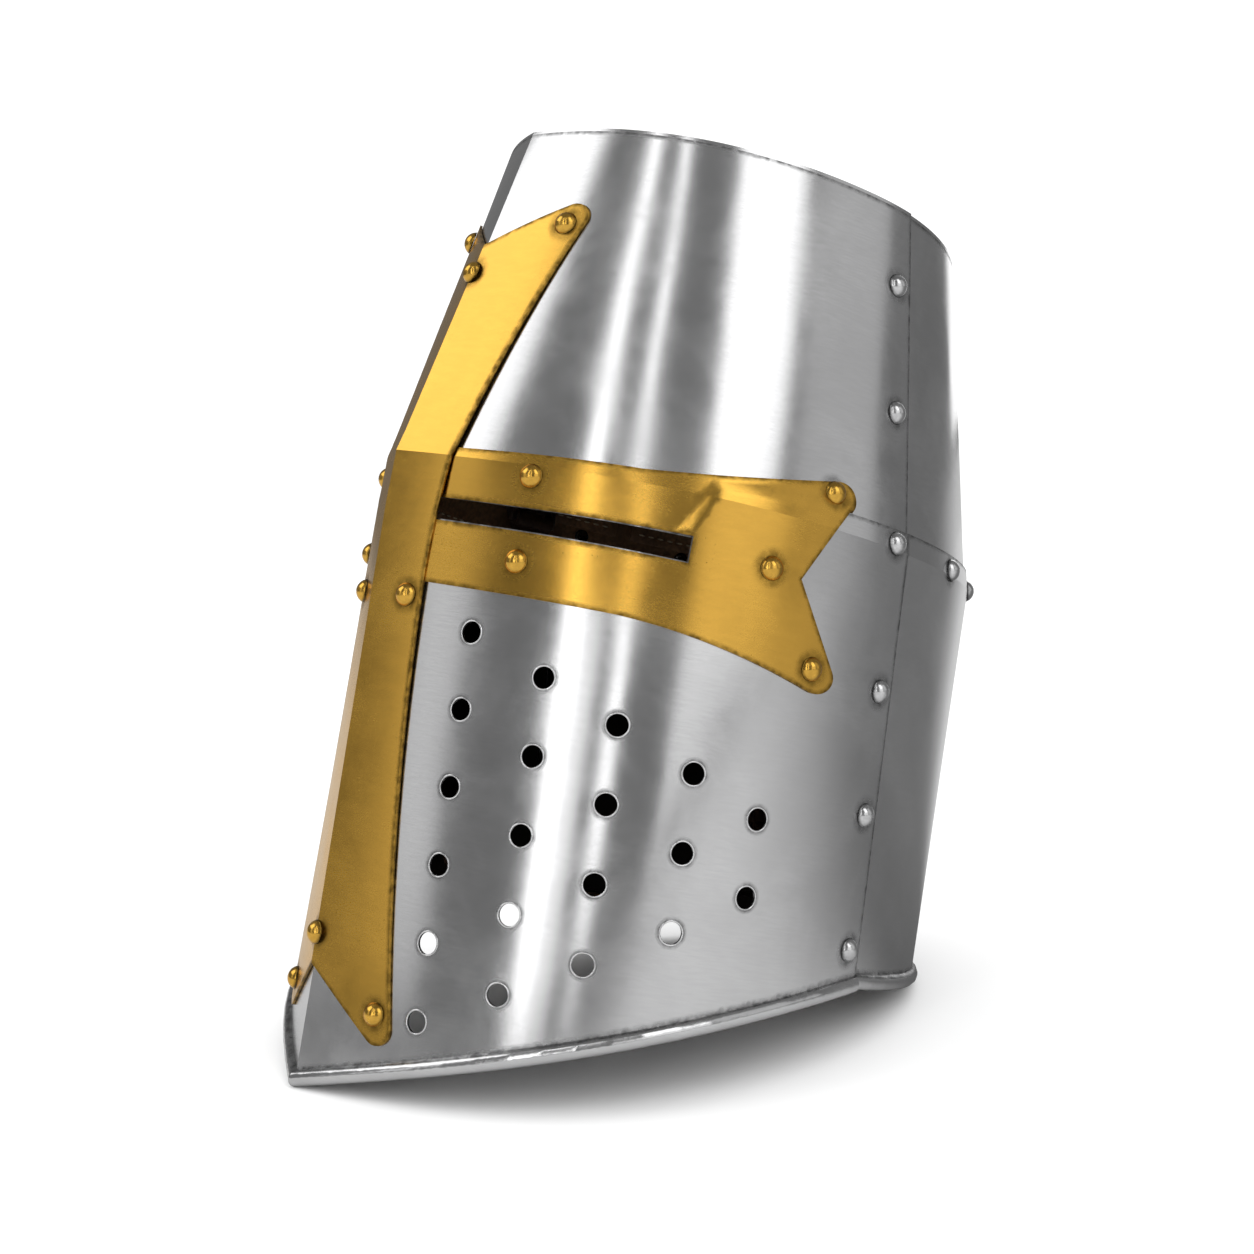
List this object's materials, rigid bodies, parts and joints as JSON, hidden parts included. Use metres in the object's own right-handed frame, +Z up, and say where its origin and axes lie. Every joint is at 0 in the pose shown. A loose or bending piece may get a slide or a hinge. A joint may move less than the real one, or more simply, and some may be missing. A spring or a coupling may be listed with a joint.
{
  "type": "great helm",
  "caption": "Flat-topped riveted steel great helm with a keeled front, a brass cross framing the eye slots, breath holes, a rolled rim, a laced leather liner and a buckled chin strap.",
  "frame": {"origin": "middle of the helm's bounding box at floor level, with the helm standing on its rolled rim", "axes": "+Z up, -Y towards the keel at the wearer's front, +X towards the wearer's left; the helm leans back as it stands because its front reaches lower than its back"},
  "size_m": [0.2332, 0.3156, 0.3489],
  "materials": {
    "steel_sheet": "polished, lightly brushed",
    "steel_rivets": "polished",
    "iron_fittings": "dark, filed",
    "brass_sheet": "polished",
    "brass_rivets": "polished",
    "liner_leather": "natural",
    "strap_leather": "waxed",
    "lace": "waxed linen cord"
  },
  "bodies": {
    "helm": {"crown_plate": "steel_sheet", "upper_front_plate": "steel_sheet", "upper_back_plate": "steel_sheet", "lower_front_plate": "steel_sheet", "lower_back_plate": "steel_sheet", "front_rim_wire": "iron_fittings", "back_rim_wire": "iron_fittings", "left_strap_loop": "iron_fittings", "right_strap_loop": "iron_fittings", "left_upper_seam_rivets": "steel_rivets", "right_upper_seam_rivets": "steel_rivets", "left_lower_seam_rivets": "steel_rivets", "right_lower_seam_rivets": "steel_rivets", "brow_rivets": "steel_rivets", "cross_upright": "brass_sheet", "left_cross_arm": "brass_sheet", "right_cross_arm": "brass_sheet", "upright_rivets": "brass_rivets", "left_arm_rivets": "brass_rivets", "right_arm_rivets": "brass_rivets", "liner_band": "liner_leather", "liner_petals": "liner_leather", "liner_lace": "lace"},
    "left_strap": {"left_chin_strap": "strap_leather", "strap_keeper": "strap_leather"},
    "buckle": {"buckle_frame": "iron_fittings"},
    "tongue": {"buckle_tongue": "iron_fittings"},
    "right_strap": {"right_chin_strap": "strap_leather"}
  },
  "joints": [
    {"name": "left_strap_swing", "type": "hinge", "parent": "helm", "child": "left_strap", "pos_m": [0.09458, 0.01515, 0.19581], "axis": [0, 0.9568, -0.2906], "range_deg": [-3, 35]},
    {"name": "buckle_swing", "type": "hinge", "parent": "left_strap", "child": "buckle", "pos_m": [0.09458, -0.0174, 0.08865], "axis": [0, 0.9568, -0.2906], "range_deg": [-8, 45]},
    {"name": "tongue_swing", "type": "hinge", "parent": "buckle", "child": "tongue", "pos_m": [0.09458, -0.0174, 0.08865], "axis": [0, 0.9568, -0.2906], "range_deg": [0, 75]},
    {"name": "right_strap_swing", "type": "hinge", "parent": "helm", "child": "right_strap", "pos_m": [-0.09458, 0.01515, 0.19581], "axis": [0, 0.9568, -0.2906], "range_deg": [-33, 3]}
  ]
}
